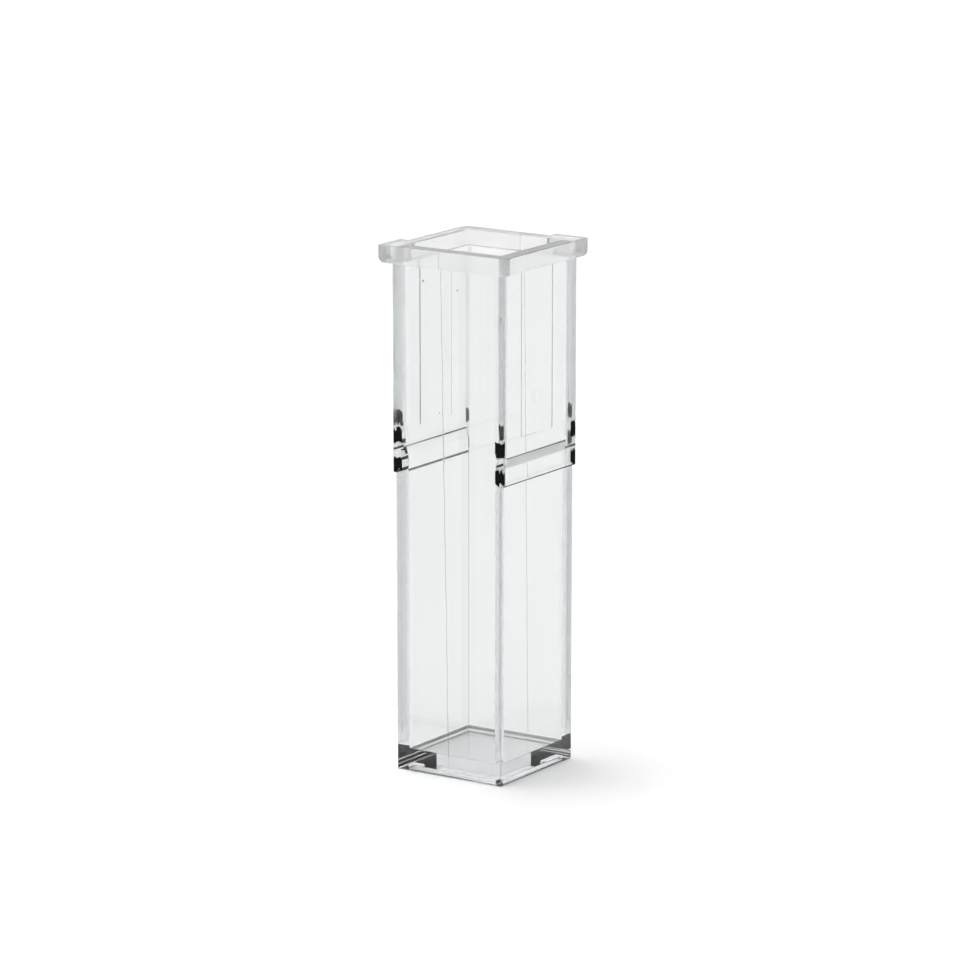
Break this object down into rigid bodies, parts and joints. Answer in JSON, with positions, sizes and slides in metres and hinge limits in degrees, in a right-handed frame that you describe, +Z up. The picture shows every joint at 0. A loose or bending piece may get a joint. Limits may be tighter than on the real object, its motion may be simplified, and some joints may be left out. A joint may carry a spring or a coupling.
{
  "type": "cuvette",
  "caption": "Tall clear square cuvette with four windows, a collar round the mouth and two corner lugs.",
  "frame": {"origin": "on the cuvette's long axis, at the plane that its foot stands on", "axes": "+Z up out of the mouth, +X across the two jogged walls, +Y across the two plain walls"},
  "size_m": [0.0141, 0.0139, 0.05],
  "materials": {
    "clear_polystyrene": "gloss"
  },
  "bodies": {
    "root": {"cuvette": "clear_polystyrene"}
  },
  "joints": []
}
